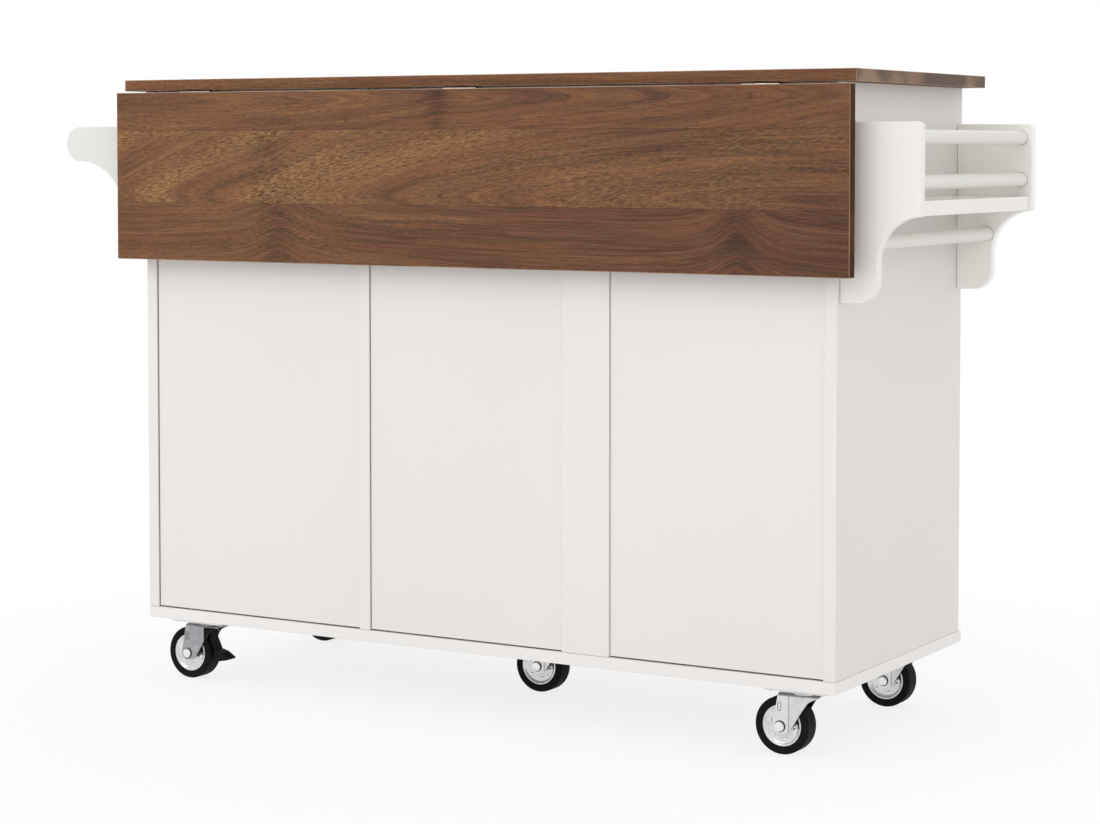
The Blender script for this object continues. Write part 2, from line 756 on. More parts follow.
class Shape:
    """Mesh under construction, made of closed solids in the shared frame."""

    def __init__(self) -> None:
        """Starts with nothing."""
        self.mesh = bmesh.new()

    def place(self, axis: Axis, a: float, b: float, along: float) -> Vector:
        """Turns a point of a drawing into a point in space.

        Args:
            axis: Direction that the drawing is extruded along.
            a: First coordinate of the drawing.
            b: Second coordinate of the drawing.
            along: Place along the axis.

        Returns:
            The point, where the drawing's coordinates are the other two axes in their order.
        """
        if axis is Axis.X:
            return Vector((along, a, b))
        if axis is Axis.Y:
            return Vector((a, along, b))
        return Vector((a, b, along))

    def stack(self, loops: Sequence[Sequence[Vector]], slot: int = 0, capped: bool = True,
              joined: bool = False) -> list[bmesh.types.BMFace]:
        """Joins loops of points, one after the other, into a skin.

        Args:
            loops: Closed loops with the same number of points.
            slot: Material slot of the faces.
            capped: Whether the first and last loops are closed with a face.
            joined: Whether the last loop is joined to the first.

        Returns:
            The new faces.
        """
        rows = [[self.mesh.verts.new(point) for point in loop] for loop in loops]
        faces = []
        pairs = list(zip(rows, rows[1:])) + ([(rows[-1], rows[0])] if joined else [])
        for lower, upper in pairs:
            for k in range(len(lower)):
                n = (k + 1) % len(lower)
                faces.append(self.mesh.faces.new((lower[k], lower[n], upper[n], upper[k])))
        if capped:
            faces.append(self.mesh.faces.new(list(reversed(rows[0]))))
            faces.append(self.mesh.faces.new(rows[-1]))
        for face in faces:
            face.material_index = slot
        bmesh.ops.recalc_face_normals(self.mesh, faces=faces)
        return faces

    def prism(self, outline: Outline, axis: Axis, start: float, end: float,
              slot: int = 0) -> list[bmesh.types.BMFace]:
        """Extrudes an outline.

        Args:
            outline: Points of the drawing.
            axis: Direction to extrude along.
            start: Where the solid starts.
            end: Where it ends.
            slot: Material slot.

        Returns:
            The new faces.
        """
        return self.stack([[self.place(axis, a, b, along) for a, b in outline]
                           for along in (start, end)], slot)

    def board(self, low: Sequence[float], high: Sequence[float],
              slot: int = 0) -> list[bmesh.types.BMFace]:
        """Adds a straight board between two corners and returns its faces."""
        corners = ((low[0], low[1]), (high[0], low[1]), (high[0], high[1]), (low[0], high[1]))
        return self.prism(corners, Axis.Z, low[2], high[2], slot)

    def turned(self, profile: Outline, centre: Sequence[float], axis: Axis, slot: int = 0,
               ring: bool = False, steps: int = 48) -> None:
        """Turns a profile about an axis.

        Args:
            profile: Radius and place along the axis, from one end to the other.
            centre: A point on the axis.
            axis: Direction of the axis.
            slot: Material slot.
            ring: Whether the profile closes on itself and leaves a bore.
            steps: Number of faces round the axis.
        """
        middle = Vector(centre)
        loops = []
        for radius, along in profile:
            loop = []
            for k in range(steps):
                turn = 2 * math.pi * k / steps
                a, b = radius * math.cos(turn), radius * math.sin(turn)
                loop.append(self.place(axis, a, b, along) + middle)
            loops.append(loop)
        self.stack(loops, slot, not ring, ring)

    def rod(self, centre: Sequence[float], axis: Axis, start: float, end: float, radius: float,
            chamfer: float = 0.4 * MM, steps: int = 32) -> None:
        """Adds a round rod with chamfered ends.

        Args:
            centre: A point on its axis, whose own place along the axis counts as 0.
            axis: Direction of the rod.
            start: Its first end.
            end: Its last end.
            radius: Its radius.
            chamfer: Size of the chamfer.
            steps: Number of faces round it.
        """
        profile = ((radius - chamfer, start), (radius, start + chamfer),
                   (radius, end - chamfer), (radius - chamfer, end))
        self.turned(profile, centre, axis, steps=steps)

    def bake(self, settle: Callable[[bpy.types.Object], None]) -> None:
        """Puts modifiers on the mesh and keeps their result as the new mesh.

        Args:
            settle: Function that adds the modifiers to the object it is given.
        """
        body = self.as_object("shape_in_work")
        settle(body)
        graph = bpy.context.evaluated_depsgraph_get()
        result = bpy.data.meshes.new_from_object(body.evaluated_get(graph))
        self.mesh = bmesh.new()
        self.mesh.from_mesh(result)
        bpy.data.objects.remove(body)
        bpy.data.meshes.remove(result)

    def combine(self, tool: "Shape", operation: str = "DIFFERENCE") -> None:
        """Cuts another shape out of this one, or keeps what they share.

        Args:
            tool: Closed solids to combine with.
            operation: Name of the operation.
        """
        other = tool.as_object("shape_as_tool")

        def settle(body: bpy.types.Object) -> None:
            """Adds the Boolean modifier."""
            modifier = body.modifiers.new("combine", "BOOLEAN")
            modifier.operation = operation
            modifier.solver = "EXACT"
            modifier.object = other

        self.bake(settle)
        bpy.data.objects.remove(other)

    def round_off(self, width: float) -> None:
        """Rounds every edge now, before finer features are cut.

        Args:
            width: How far the edges are rounded.
        """
        self.bake(lambda body: round_edges(body, width, steps=3))

    def crease(self, axis: Axis, place: float) -> None:
        """Keeps the edges that lie in a plane crisp.

        Args:
            axis: Direction across the plane.
            place: Where the plane lies.
        """
        for edge in self.mesh.edges:
            if all(abs(vert.co[axis.value] - place) < SAME_PLACE for vert in edge.verts):
                edge.smooth = False

    def as_object(self, name: str) -> bpy.types.Object:
        """Writes the mesh out as an object of the scene.

        Args:
            name: Name of the object.

        Returns:
            The new object.
        """
        for face in self.mesh.faces:
            face.smooth = True
        mesh = bpy.data.meshes.new(name)
        self.mesh.to_mesh(mesh)
        self.mesh.free()
        made = bpy.data.objects.new(name, mesh)
        bpy.context.scene.collection.objects.link(made)
        return made

    def paint(self, slot: int, axis: Axis,
              faces: Sequence[bmesh.types.BMFace] | None = None) -> None:
        """Gives every face that looks along an axis another material slot.

        Args:
            slot: The slot.
            axis: Direction that the faces look along, either way.
            faces: Faces to choose from, or all of them.
        """
        self.mesh.normal_update()
        for face in faces or self.mesh.faces:
            if abs(face.normal[axis.value]) > 0.9:
                face.material_index = slot

    def make(self, name: str, body: str, finishes: Sequence[Finish], slot: Slot,
             round_by: float = 0.5 * MM, replaces: Sequence[str] = (), steps: int = 2,
             rim_slot: int = -1) -> None:
        """Turns the shape into a piece of the scene that rides on a body.

        Args:
            name: Name of the piece.
            body: Body that it moves with.
            finishes: One finish for each material slot.
            slot: The record's material slot.
            round_by: How far its edges are rounded.
            replaces: Solids that it stands for.
            steps: Number of faces over a rounded edge.
            rim_slot: Material slot of the rounded edges, or -1 for their neighbours' own.
        """
        made = self.as_object(name)
        for finish in finishes:
            made.data.materials.append(finish.material())
        soften(made, round_by, steps, rim_slot)
        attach(made, body)
        if replaces:
            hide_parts(*replaces)
        log.info("%s rides on %s", name, body)


def round_edges(piece: bpy.types.Object, width: float, steps: int, rim_slot: int = -1) -> None:
    """Rounds the edges that turn by more than EDGE_ANGLE.

    Args:
        piece: Object to change.
        width: How far the edges are rounded.
        steps: Number of faces over a rounded edge.
        rim_slot: Material slot of the rounded edges, or -1 for their neighbours' own.
    """
    modifier = piece.modifiers.new("rounded_edges", "BEVEL")
    modifier.width = width
    modifier.segments = steps
    modifier.angle_limit = math.radians(EDGE_ANGLE)
    modifier.material = rim_slot


def soften(piece: bpy.types.Object, round_by: float, steps: int = 2, rim_slot: int = -1) -> None:
    """Rounds the edges of a piece and smooths its curved faces.

    Args:
        piece: Object to change.
        round_by: How far the edges are rounded.
        steps: Number of faces over a rounded edge.
        rim_slot: Material slot of the rounded edges, or -1 for their neighbours' own.
    """
    round_edges(piece, round_by, steps, rim_slot)
    modifier = piece.modifiers.new("flat_faces_stay_flat", "WEIGHTED_NORMAL")
    modifier.keep_sharp = True


def dress(node: str, finish: Finish, round_by: float = 0.4 * MM) -> None:
    """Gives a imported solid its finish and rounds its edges.

    Args:
        node: Name of the solid.
        finish: Its finish.
        round_by: How far its edges are rounded.
    """
    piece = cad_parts[node]
    piece.data.materials.clear()
    piece.data.materials.append(finish.material())
    for polygon in piece.data.polygons:
        polygon.use_smooth = True
    weld = piece.modifiers.new("joined_faces", "WELD")
    weld.merge_threshold = SAME_PLACE
    plain = piece.modifiers.new("plain_faces", "DECIMATE")
    plain.decimate_type = "DISSOLVE"
    plain.angle_limit = math.radians(FLAT_ANGLE)
    soften(piece, round_by)
    log.info("%s keeps its shape", node)


@dataclass
class Carcass:
    """Boards, back panels, shelf and the parts fixed to them."""

    palette: Palette
    board_round: float = 0.6 * MM
    joint: float = 0.45 * MM
    panel_gap: float = 1.1 * MM
    panel_foot: float = 2.2 * MM
    groove_depth: float = 6 * MM
    hole_r: float = 2.5 * MM
    hole_depth: float = 9 * MM
    hole_pitch: float = 48 * MM
    holes_each_way: int = 4
    pin_half: float = 4.5 * MM

    def boards(self) -> None:
        """Dresses the plain boards of the box."""
        dress("base_board", self.palette.base, self.board_round)
        for node in ("top_rails", "cabinet_shelf"):
            dress(node, self.palette.inside, self.board_round)
        low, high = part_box("back_stile")
        shape = Shape()
        shape.board((low.x, low.y, low.z + self.joint), high)
        shape.make("back_stile_board", "root", (self.palette.board,), Slot.WHITE, 0.4 * MM,
                   ("back_stile",))

    def drilled_board(self, node: str, finish: Finish,
                      faces: Sequence[tuple[float, float, bool]]) -> None:
        """Builds an upright with grooves for the back panels and rows of holes for the shelf pins.

        Args:
            node: Solid that it stands for.
            finish: Its finish.
            faces: Place along X, way in (1 or -1) and whether it has holes, for each face.
        """
        low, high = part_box(node)
        panel_low, panel_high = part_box("back_panels")
        pins_low, pins_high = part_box("shelf_pins")
        depth = self.hole_depth
        shape, tool = Shape(), Shape()
        shape.board((low.x, low.y, low.z + self.joint), high)
        for face, way, drilled in faces:
            ends = sorted((face - way * self.groove_depth, face + way * self.groove_depth))
            tool.board((ends[0], panel_low.y, low.z - self.groove_depth),
                       (ends[1], panel_high.y, high.z + self.groove_depth))
            if not drilled:
                continue
            for y in (pins_low.y + self.pin_half, pins_high.y - self.pin_half):
                for k in range(-self.holes_each_way, self.holes_each_way + 1):
                    z = pins_low.z + self.pin_half + k * self.hole_pitch
                    tool.rod((face, y, z), Axis.X, -depth, depth, self.hole_r, steps=16)
        shape.combine(tool)
        shape.paint(1, Axis.X)
        shape.make(f"{node}_board", "root", (finish, self.palette.side), Slot.WHITE, 0.4 * MM,
                   (node,))

    def panels(self) -> None:
        """Builds the back panels, with the slot that shows at two edges of each."""
        low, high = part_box("back_panels")
        stile_low, stile_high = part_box("back_stile")
        wall_low, wall_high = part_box("partition")
        shape = Shape()
        for x0, x1 in (
            (low.x, stile_low.x), (stile_high.x - self.groove_depth, wall_low.x),
            (wall_high.x - self.groove_depth, high.x - self.groove_depth),
        ):
            shape.board((x0 + self.panel_gap, low.y, low.z + self.panel_foot),
                        (x1 - self.panel_gap, high.y, high.z))
        shape.make("back_panel_boards", "root", (self.palette.panel,), Slot.WHITE, 0.3 * MM,
                   ("back_panels",))

    def fittings(self) -> None:
        """Dresses the steel parts that are fixed to the boards."""
        for node in ("shelf_pins", "door_hinge_plates", "drawer_runners"):
            dress(node, self.palette.hinge, 0.2 * MM)

    def build(self) -> None:
        """Builds the whole sub-assembly."""
        self.boards()
        rack_end, bar_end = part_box("side_panel_rack_end")[1].x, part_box("side_panel_bar_end")[0].x
        wall_low, wall_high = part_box("partition")
        self.drilled_board("side_panel_rack_end", self.palette.board, ((rack_end, -1, True),))
        self.drilled_board("side_panel_bar_end", self.palette.board, ((bar_end, 1, False),))
        self.drilled_board("partition", self.palette.board,
                           ((wall_low.x, 1, True), (wall_high.x, -1, False)))
        self.panels()
        self.fittings()


@dataclass
class Tops:
    """Worktop, drop leaf, and the hinges and stays between them."""

    palette: Palette
    edge_round: float = 0.9 * MM
    hinge_length: float = 56 * MM
    hinge_gap: float = 0.3 * MM

    def pocketed_board(self, node: str, hinges: str, body: str, wood: Walnut,
                       band: EdgeBand) -> None:
        """Builds a walnut board with bands on its ends and pockets for its hinges.

        Args:
            node: Solid that it stands for.
            hinges: Solids of the hinge flaps let into it.
            body: Body that it rides on.
            wood: Veneer of its faces.
            band: Band on its ends.
        """
        low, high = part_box(node)
        flap_low, flap_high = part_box(hinges)
        gap = self.hinge_gap
        half = self.hinge_length / 2
        if body == "root":
            foot, head = (flap_low.y - gap, low.z - gap), (high.y + gap, flap_high.z)
        else:
            foot, head = (low.y - gap, flap_low.z - gap), (flap_high.y, high.z + gap)
        on_ends, on_rims, on_edge = 1, 2, 3
        shape, tool = Shape(), Shape()
        shape.board(low, high)
        for middle in (flap_low.x + half, (flap_low.x + flap_high.x) / 2, flap_high.x - half):
            tool.board((middle - half - gap, *foot), (middle + half + gap, *head))
        shape.combine(tool)
        if body == "root":
            shape.paint(on_edge, Axis.Y)
        shape.paint(on_ends, Axis.X)
        finishes = (wood, band, self.palette.corner, self.palette.long_edge)
        shape.make(f"{node}_board", body, finishes, Slot.WALNUT, self.edge_round, (node,),
                   steps=3, rim_slot=on_rims)

    def build(self) -> None:
        """Builds the whole sub-assembly."""
        self.pocketed_board("worktop", "worktop_hinge_flaps", "root", self.palette.top,
                            self.palette.end)
        self.pocketed_board("drop_leaf", "leaf_hinge_flaps", "leaf", self.palette.leaf,
                            self.palette.leaf_end)
        for node in ("worktop_hinge_flaps", "leaf_hinge_flaps"):
            dress(node, self.palette.leaf_hinge, 0.15 * MM)
        for node in ("stay_wall_channels", "stay_leaf_arms", "stay_rack_side", "stay_bar_side"):
            dress(node, self.palette.zinc, 0.3 * MM)


@dataclass
class Fronts:
    """Doors and drawer fronts, made of frames and sunk fields, with their handles and hinges."""

    palette: Palette
    field_depth: float = 4 * MM
    door_frame: float = 58 * MM
    drawer_frame: float = 36 * MM
    edge_round: float = 0.8 * MM
    pull_r: float = 5 * MM
    post_r: float = 4 * MM
    post_pitch: float = 128 * MM
    tip: Outline = ((8, 0), (7.4, 0.5), (6.8, 0.5), (6.2, 0), (1, 0), (0, 1.2))
    flare: Outline = ((0, 5), (0.6, 2), (1.6, 0.8), (1.6, 0))

    def framed(self, node: str, body: str, width: float) -> None:
        """Builds a front of two stiles, two rails and a sunk field.

        Args:
            node: Solid that it stands for.
            body: Body that it rides on.
            width: Width of the frame.
        """
        low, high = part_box(node)
        shape = Shape()
        x0, x1, z0, z1 = low.x + width, high.x - width, low.z + width, high.z - width
        shape.board(low, (x0, high.y, high.z))
        shape.board((x1, low.y, low.z), high)
        shape.board((x0, low.y, low.z), (x1, high.y, z0))
        shape.board((x0, low.y, z1), (x1, high.y, high.z))
        shape.board((x0, low.y + self.field_depth, z0), (x1, high.y, z1), 1)
        shape.make(f"{node}_frame", body, (self.palette.joinery, self.palette.board), Slot.WHITE,
                   self.edge_round, (node,))

    def pull(self, node: str, body: str, axis: Axis) -> None:
        """Builds a bar handle on two flared posts.

        The tip's points say how far they lie from the bar's end and from its full radius, the
        flare's how much they widen the post and how far they lie from its foot, both in mm.

        Args:
            node: Solid that it stands for.
            body: Body that it rides on.
            axis: Direction of the bar.
        """
        low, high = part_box(node)
        middle = (low + high) / 2
        middle.y = low.y + self.pull_r
        half = (high - low)[axis.value] / 2
        reach = high.y - middle.y
        ends = [(half - back, self.pull_r - sunk) for back, sunk in in_mm(self.tip)]
        profile = [(r, -along) for along, r in reversed(ends)] + [(r, along) for along, r in ends]
        shape = Shape()
        shape.turned(profile, middle, axis, steps=40)
        post = [(self.post_r, 0)]
        post += [(self.post_r + wider, reach - off) for wider, off in in_mm(self.flare)]
        for side in (-1, 1):
            foot = middle.copy()
            foot[axis.value] += side * self.post_pitch / 2
            shape.turned(post, foot, Axis.Y, steps=32)
        shape.make(f"{node}_bar", body, (self.palette.pull,), Slot.STEEL, 0.2 * MM, (node,))

    def build(self) -> None:
        """Builds the whole sub-assembly."""
        for side in ("left", "right"):
            self.framed(f"{side}_door", f"{side}_door", self.door_frame)
            self.pull(f"{side}_door_pull", f"{side}_door", Axis.Z)
            dress(f"{side}_door_hinges", self.palette.hinge, 0.2 * MM)
        for number in (1, 2, 3):
            self.framed(f"drawer_front_{number}", f"drawer_{number}", self.drawer_frame)
            self.pull(f"drawer_pull_{number}", f"drawer_{number}", Axis.X)


@dataclass
class DrawerBox:
    """Plywood box of a drawer, with finger joints at its corners."""

    palette: Palette
    number: int
    side_t: float = 12 * MM
    bottom_t: float = 6 * MM
    batten_w: float = 10.3 * MM
    batten_rise: float = 22 * MM
    batten_h: float = 14 * MM
    batten_setback: float = 4 * MM
    fingers: int = 9

    def build(self) -> None:
        """Builds the box: veneer on the faces, layers on the cut edges."""
        node = f"drawer_box_{self.number}"
        low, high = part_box(node)
        t = self.side_t
        x0, x1 = low.x + self.batten_w, high.x - self.batten_w
        y0, y1 = low.y, high.y
        edge_x, edge_y = 1, 2
        shape = Shape()
        shape.board((x0 + t, y0 + t, low.z), (x1 - t, y1 - t, low.z + self.bottom_t))
        for a, b in ((x0, x0 + t), (x1 - t, x1)):
            faces = shape.board((a, y0 + t, low.z), (b, y1 - t, high.z))
            shape.paint(edge_x, Axis.Z, faces)
        for a, b in ((y0, y0 + t), (y1 - t, y1)):
            faces = shape.board((x0 + t, a, low.z), (x1 - t, b, high.z))
            shape.paint(edge_y, Axis.Z, faces)
        pitch = (high.z - low.z) / self.fingers
        for k in range(self.fingers):
            for x in (x0, x1 - t):
                for y in (y0, y1 - t):
                    z = low.z + k * pitch
                    faces = shape.board((x, y, z), (x + t, y + t, z + pitch))
                    edge, way = (edge_x, Axis.Y) if k % 2 == 0 else (edge_y, Axis.X)
                    shape.paint(edge, way, faces)
                    shape.paint(edge, Axis.Z, faces)
        for a, b in ((low.x, x0), (x1, high.x)):
            shape.board((a, y0 + self.batten_setback, low.z + self.batten_rise),
                        (b, y1, low.z + self.batten_rise + self.batten_h))
        shape.make(f"drawer_{self.number}_box", f"drawer_{self.number}",
                   (self.palette.ply, self.palette.ply_edge_x, self.palette.ply_edge_y),
                   Slot.PLY, 0.3 * MM, (node,), steps=1)


@dataclass
class EndRacks:
    """Spice rack at one end and towel bar at the other."""

    palette: Palette
    edge_round: float = 1.8 * MM
    seam: float = 0.35 * MM
    wall_seam: float = 0.6 * MM
    shelf_seam: float = 0.6 * MM
    root: float = 8 * MM
    socket: float = 8 * MM
    rod_r: float = 10 * MM
    rod_drops: tuple[float, float, float] = (20 * MM, 80 * MM, 159 * MM)
    rack_edge_h: float = 125 * MM
    rack_scoop: float = 60 * MM
    rack_corner: float = 8 * MM
    rack_foot: float = 30 * MM
    bar_round: float = 26.8 * MM
    bar_scoop: float = 91 * MM
    bar_foot: float = 22 * MM

    def rack_outline(self) -> list[tuple[float, float]]:
        """Returns the outline of a rack bracket, as places along X and Z."""
        low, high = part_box("rack_bracket_back")
        out, wall = low.x, high.x + self.root
        scoop_z = high.z - self.rack_edge_h - self.rack_scoop
        leg = out + self.rack_scoop
        outline = arc((out + self.rack_corner, high.z - self.rack_corner), self.rack_corner,
                      90, 180, 6)
        outline += arc((out, scoop_z), self.rack_scoop, 90, 0, 16)
        outline += arc((leg + self.rack_foot, low.z + self.rack_foot), self.rack_foot, 180, 270, 12)
        return outline + [(wall, low.z), (wall, high.z)]

    def bar_outline(self) -> list[tuple[float, float]]:
        """Returns the outline of a towel bar bracket, as places along X and Z."""
        low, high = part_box("bar_bracket_back")
        wall, centre = low.x - self.root, (high.x - self.bar_round, high.z - self.bar_round)
        leg = centre[0] - self.bar_scoop
        scoop_z = centre[1] - self.bar_round - self.bar_scoop
        outline = arc(centre, self.bar_round, 90, -90, 20)
        outline += arc((centre[0], scoop_z), self.bar_scoop, 90, 180, 18)[1:]
        outline += arc((leg - self.bar_foot, low.z + self.bar_foot), self.bar_foot, 0, -90, 10)
        return outline + [(wall, low.z), (wall, high.z)]

    def bracket(self, node: str, outline: Outline, rods: Sequence[Vector]) -> None:
        """Builds a bracket with sockets that leave a thin ring round each rod.

        Args:
            node: Solid that it stands for.
            outline: Its outline along X and Z.
            rods: Middles of the rods.
        """
        low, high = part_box(node)
        wall = (low.x - 2 * self.root, low.x + self.wall_seam)
        if node.startswith("rack"):
            wall = (high.x - self.wall_seam, high.x + 2 * self.root)
        shape, tool = Shape(), Shape()
        shape.prism(outline, Axis.Y, low.y, high.y)
        shape.round_off(self.edge_round)
        tool.board((wall[0], low.y - self.root, low.z - self.root),
                   (wall[1], high.y + self.root, high.z + self.root))
        inner = low.y if node.endswith("back") else high.y
        for rod in rods:
            tool.rod((rod.x, inner, rod.z), Axis.Y, -self.socket, self.socket,
                     self.rod_r + self.seam, steps=40)
        shape.combine(tool)
        finish = self.palette.bar_joinery if node.startswith("bar") else self.palette.joinery
        if node == "rack_bracket_front":
            finish = self.palette.far_joinery
        shape.make(f"{node}_board", "root", (finish,), Slot.WHITE, 0.2 * MM, (node,), steps=1)

    def rods(self, node: str, places: Sequence[Vector]) -> None:
        """Builds the rods of one end.

        Args:
            node: Solid that they stand for.
            places: Middles of the rods.
        """
        low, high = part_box(node)
        shape = Shape()
        middle, half = (low.y + high.y) / 2, (high.y - low.y) / 2
        for place in places:
            shape.rod((place.x, middle, place.z), Axis.Y, -half, half, self.rod_r, 0.8 * MM,
                      steps=48)
        shape.make(f"{node}_turned", "root", (self.palette.rod,), Slot.WHITE, 0.2 * MM, (node,),
                   steps=1)

    def build(self) -> None:
        """Builds the whole sub-assembly."""
        low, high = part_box("rack_rods")
        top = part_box("rack_bracket_back")[1].z
        ends = (low.x + self.rod_r, low.x + self.rod_r, high.x - self.rod_r)
        places = [Vector((x, 0, top - drop)) for x, drop in zip(ends, self.rod_drops)]
        self.rods("rack_rods", places)
        outline = self.rack_outline()
        for end in ("back", "front"):
            self.bracket(f"rack_bracket_{end}", outline, places)
        low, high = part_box("spice_shelf")
        shape = Shape()
        gap = self.shelf_seam
        shape.board((low.x, low.y + gap, low.z), (high.x - gap, high.y - gap, high.z))
        shape.make("spice_shelf_board", "root", (self.palette.joinery,), Slot.WHITE, 1.2 * MM,
                   ("spice_shelf",), steps=3)
        low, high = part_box("towel_bar")
        middle = (low + high) / 2
        self.rods("towel_bar", [middle])
        outline = self.bar_outline()
        for end in ("back", "front"):
            self.bracket(f"bar_bracket_{end}", outline, [middle])


@dataclass
class Caster:
    """One swivel caster: pressed fork, axle, rim, tyre, and a brake pedal on some.

    The fields from rim_half on are drawings in millimetres: profiles give a radius and a place
    along Y, outlines give X and Z. The ribs' start and pitch are shares of the shoe's slope.
    """

    palette: Palette
    name: str
    braked: bool
    trail: float = 31 * MM
    half: float = 19 * MM
    sheet: float = 2 * MM
    crown: float = 46 * MM
    crown_t: float = 2.5 * MM
    crown_round: float = 5 * MM
    cheek_foot: float = -16 * MM
    tail: float = 14 * MM
    nose: tuple[float, float] = (-57 * MM, 14 * MM)
    hollow: tuple[float, float] = (-52 * MM, 21.5 * MM)
    flange_r: float = 18 * MM
    foot: tuple[float, float] = (-12.5 * MM, -8 * MM)
    fold: float = -12 * MM
    fold_w: float = 1.6 * MM
    slot_place: tuple[float, float] = (1 * MM, 27.5 * MM)
    slot_length: float = 12.6 * MM
    slot_r: float = 2.7 * MM
    slot_rim: float = 0.8 * MM
    slot_depth: float = 0.8 * MM
    slot_raise: tuple[float, float] = (1.2 * MM, 0.1 * MM)
    eye_r: float = 11 * MM
    race_r: float = 22 * MM
    race_h: float = 3.35 * MM
    stem_r: float = 6 * MM
    axle_r: float = 4.5 * MM
    washer_r: float = 8 * MM
    cap_r: float = 7 * MM
    nut_r: float = 7.8 * MM
    nut_h: float = 3.2 * MM
    tyre_half: float = 14 * MM
    tyre_r: float = 40 * MM
    rim_r: float = 29 * MM
    shoulder_r: float = 2.8 * MM
    rivets: int = 6
    rivet_ring: float = 19.5 * MM
    pivot: tuple[float, float] = (-35 * MM, 35 * MM)
    pin_r: float = 2.5 * MM
    pin_half: float = 15.2 * MM
    boss_r: float = 5 * MM
    arm_half: float = 9.4 * MM
    shoe_half: float = 11 * MM
    ribs: int = 4
    rib_half: float = 9.5 * MM
    rib_start: float = 0.16
    rib_pitch: float = 0.21
    guard: float = -30 * MM
    rim_half: Outline = (
        (4.6, 16.7), (9.2, 16.7), (9.5, 16.4), (9.5, 13.9), (11, 12.4), (14, 11.3), (18, 10.6),
        (21.5, 10.3), (24, 10.7), (25.4, 11.8), (26.3, 12.9), (27.3, 13.4), (28.4, 13.3), (29, 12.7),
    )
    rivet_dome: Outline = ((2.9, 10.1), (2.9, 10.7), (2.5, 11.4), (1.6, 11.9), (0.4, 12.1))
    arm_edge: Outline = ((-38.8, 24.5), (-44.6, 13), (-47.5, 6), (-46.5, 4))
    shoe: Outline = ((-46.5, 7), (-58, 4), (-71.5, -4.5), (-70, -6.5), (-57, -9), (-46.5, -11))
    rib: Outline = ((-0.9, -0.6), (0.9, -0.6), (0.9, 0.9), (-0.9, 0.9))

    def axle(self) -> Vector:
        """Returns the middle of the wheel."""
        low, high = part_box(f"tyre_{self.name}")
        return (low + high) / 2

    def placed(self, drawing: Outline) -> list[tuple[float, float]]:
        """Returns a drawing made round the axle, at its place in X and Z."""
        centre = self.axle()
        return [(centre.x + x, centre.z + z) for x, z in drawing]

    def hull(self, inset: float, top: float, corner: float, bottom: float,
             start: float, end: float) -> Shape:
        """Builds a tunnel with rounded upper corners that narrows towards the nose.

        Args:
            inset: How far it lies inside the fork's outer faces.
            top: Its height above the axle.
            corner: Radius of its upper corners.
            bottom: Height of its lower face.
            start: Where it starts along X.
            end: Where it ends along X.

        Returns:
            The shape.
        """
        centre = self.axle()
        slope = (self.half - self.nose[1]) / (self.fold - self.nose[0])
        shape = Shape()
        loops = []
        for x in (start, self.fold - self.fold_w, self.fold, end):
            side = self.half - inset - max(0.0, self.fold - x) * slope
            section = [(side, bottom)] + arc((side - corner, top - corner), corner, 0, 90, 6)
            section += arc((corner - side, top - corner), corner, 90, 180, 6) + [(-side, bottom)]
            loops.append([centre + Vector((x, y, z)) for y, z in section])
        shape.stack(loops)
        return shape

    def side(self) -> Shape:
        """Builds the prism that gives the fork its outline seen from the side."""
        centre = self.axle()
        outline = arc((0, 0), self.eye_r, -90, 10, 14)
        outline += [(3 * MM, self.crown), (self.nose[0], self.crown),
                    (self.nose[0], self.crown - self.crown_t)]
        outline += arc(self.hollow, self.flange_r, 68, 32, 8) + [self.foot]
        shape = Shape()
        shape.prism(self.placed(outline), Axis.Y, centre.y - 2 * self.half,
                    centre.y + 2 * self.half)
        return shape

    def on_cheeks(self, shape: Shape, drawing: Outline, inner: float, outer: float,
                  slot: int = 0) -> None:
        """Adds a prism on each cheek of the fork.

        Args:
            shape: Shape to add to.
            drawing: Outline of the prism, at its place in X and Z.
            inner: Distance of its inner face from the middle of the fork.
            outer: Distance of its outer face.
            slot: Material slot.
        """
        middle = self.axle().y
        for side in (-1, 1):
            ends = sorted((middle + side * inner, middle + side * outer))
            shape.prism(drawing, Axis.Y, ends[0], ends[1], slot)

    def fork(self) -> None:
        """Builds the pressed fork with its bearing cup, axle and the embossed slots."""
        centre = self.axle()
        shape = self.hull(0, self.crown, self.crown_round, self.cheek_foot, self.nose[0], self.tail)
        shape.combine(self.hull(self.sheet, self.crown - self.crown_t,
                                self.crown_round - self.sheet, 2 * self.cheek_foot,
                                self.nose[0] - 10 * MM, self.tail + 10 * MM))
        shape.combine(self.side(), "INTERSECT")
        tool = Shape()
        place = (centre.x + self.slot_place[0], centre.z + self.slot_place[1])
        groove = slot_outline(place, self.slot_length, self.slot_r)
        raised = slot_outline(place, self.slot_length - 2 * self.slot_rim,
                              self.slot_r - self.slot_rim)
        self.on_cheeks(tool, groove, self.half - self.slot_depth, 2 * self.half, ForkFinish.INSIDE)
        stem = (centre.x - self.trail, centre.y, centre.z + self.crown)
        tool.rod(stem, Axis.Z, -5 * MM, 5 * MM, self.stem_r + 0.1 * MM, steps=40)
        shape.combine(tool)
        self.shade(shape)
        root, face = self.slot_raise
        self.on_cheeks(shape, raised, self.half - root, self.half - face)
        self.fittings(shape, stem)
        zinc, flange = self.palette.zinc, self.palette.flange
        if self.braked:
            zinc, flange = self.palette.dull_zinc, self.palette.crease
        finishes = (zinc, self.palette.inner_steel, self.palette.bright,
                    self.palette.crease, flange, self.palette.pedal)
        shape.make(f"caster_{self.name}_fork", f"caster_{self.name}", finishes, Slot.STEEL,
                   0.35 * MM, (f"caster_fork_{self.name}",))

